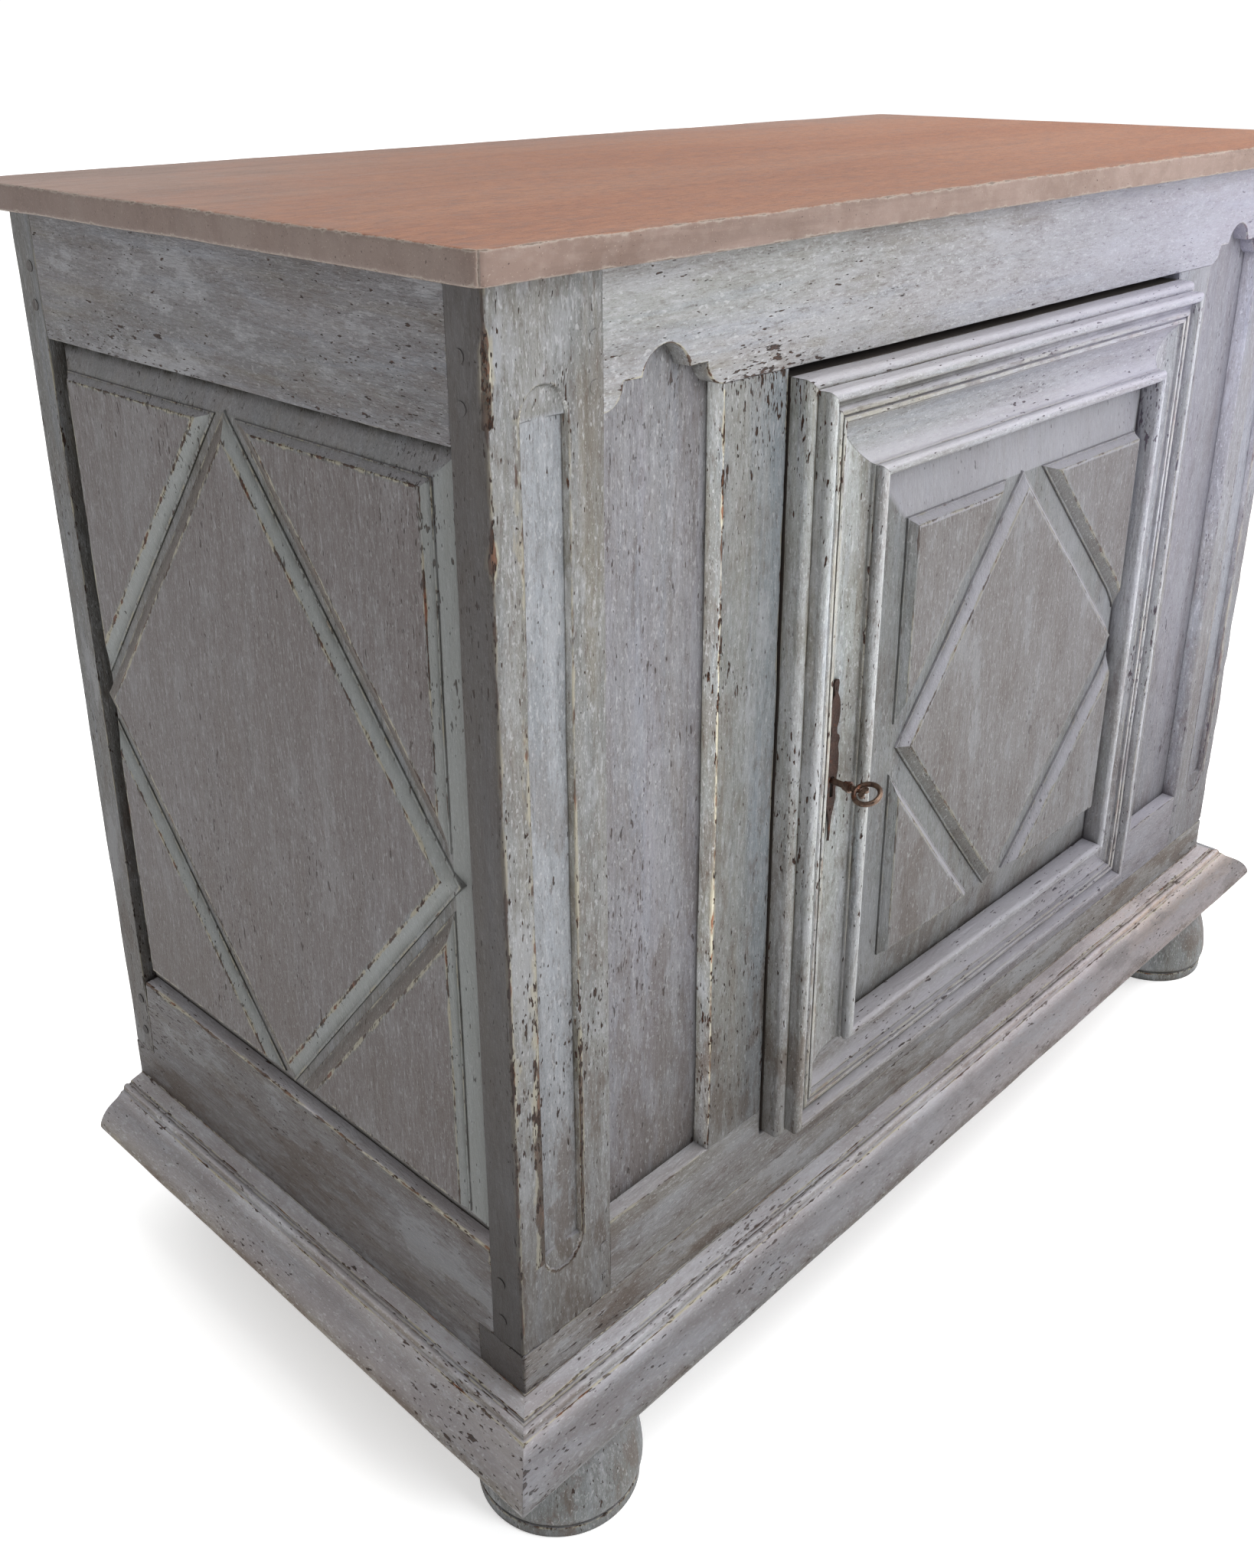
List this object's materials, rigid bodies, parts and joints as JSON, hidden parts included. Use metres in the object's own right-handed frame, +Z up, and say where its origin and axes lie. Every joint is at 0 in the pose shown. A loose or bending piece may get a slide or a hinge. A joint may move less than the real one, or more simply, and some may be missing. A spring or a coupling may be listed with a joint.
{
  "type": "buffet cabinet",
  "caption": "Painted single-door buffet cabinet with raised diamond panels, fluted posts, moulded base and bun feet; the door swings and its key throws the lock bolt.",
  "frame": {"origin": "on the floor under the middle of the bounding box", "axes": "+Z up; the door side faces -Y; +X to the right seen from the front"},
  "size_m": [1.25, 0.631, 0.991],
  "materials": {
    "painted_frame": "old worn grey-blue paint, matt",
    "painted_panels": "old worn lilac-grey paint, matt",
    "painted_moulding": "old worn greenish-grey paint, low sheen",
    "painted_base": "old worn grey paint with bare patches",
    "painted_feet": "old worn grey-green paint",
    "waxed_top": "worn, waxed and greyed at the edges",
    "bare_wood": "old unfinished timber",
    "forged_iron": "dark forged iron, brown with age"
  },
  "bodies": {
    "case": {"post_front_left": "painted_frame", "post_front_right": "painted_frame", "post_back_left": "painted_frame", "post_back_right": "painted_frame", "rail_front_top": "painted_frame", "rail_front_bottom": "painted_frame", "stile_inner_left": "painted_frame", "stile_inner_right": "painted_frame", "panel_shaped_left": "painted_panels", "panel_shaped_right": "painted_panels", "rail_side_top_left": "painted_frame", "rail_side_top_right": "painted_frame", "rail_side_bottom_left": "painted_frame", "rail_side_bottom_right": "painted_frame", "panel_side_left": "painted_panels", "panel_side_right": "painted_panels", "rail_back_top": "bare_wood", "rail_back_bottom": "bare_wood", "back_boards": "bare_wood", "sill_front": "painted_frame", "sill_left": "painted_frame", "sill_right": "painted_frame", "sill_back": "bare_wood", "bottom_boards": "bare_wood", "shelf_boards": "bare_wood", "shelf_cleats": "bare_wood", "pegs_carcass": "painted_frame", "top_board": "waxed_top", "top_cleats": "bare_wood", "base_moulding_front": "painted_base", "base_moulding_left": "painted_base", "base_moulding_right": "painted_base", "base_back_bar": "bare_wood", "base_corner_blocks": "bare_wood", "foot_front_left": "painted_feet", "foot_front_right": "painted_feet", "foot_back_left": "painted_feet", "foot_back_right": "painted_feet", "door_stops": "bare_wood", "lock_keeper": "forged_iron", "hinge_case_leaves": "forged_iron", "hinge_pins": "forged_iron"},
    "door": {"door_stile_left": "bare_wood", "door_stile_right": "bare_wood", "door_rail_top": "bare_wood", "door_rail_bottom": "bare_wood", "door_moulding_left": "painted_moulding", "door_moulding_right": "painted_moulding", "door_moulding_top": "painted_moulding", "door_moulding_bottom": "painted_moulding", "door_panel": "painted_panels", "door_pegs": "bare_wood", "hinge_door_leaves": "forged_iron", "lock_case": "forged_iron", "lock_nails": "forged_iron", "escutcheon": "forged_iron", "escutcheon_nails": "forged_iron"},
    "bolt": {"lock_bolt": "forged_iron"},
    "key": {"key": "forged_iron"}
  },
  "joints": [
    {"name": "door_hinge", "type": "hinge", "parent": "case", "child": "door", "pos_m": [0.3055, -0.2635, 0.353], "axis": [0, 0, 1], "range_deg": [0, 108]},
    {"name": "key_turn", "type": "hinge", "parent": "door", "child": "key", "pos_m": [-0.247, -0.2515, 0.548], "axis": [0, -1, 0], "range_deg": [0, 130]},
    {"name": "bolt_slide", "type": "slide", "parent": "door", "child": "bolt", "axis": [-1, 0, 0], "range_m": [0, 0.012]}
  ],
  "couplings": [
    {"joint": "key_turn", "follows": "bolt_slide", "rad_per_m": 189.07}
  ]
}
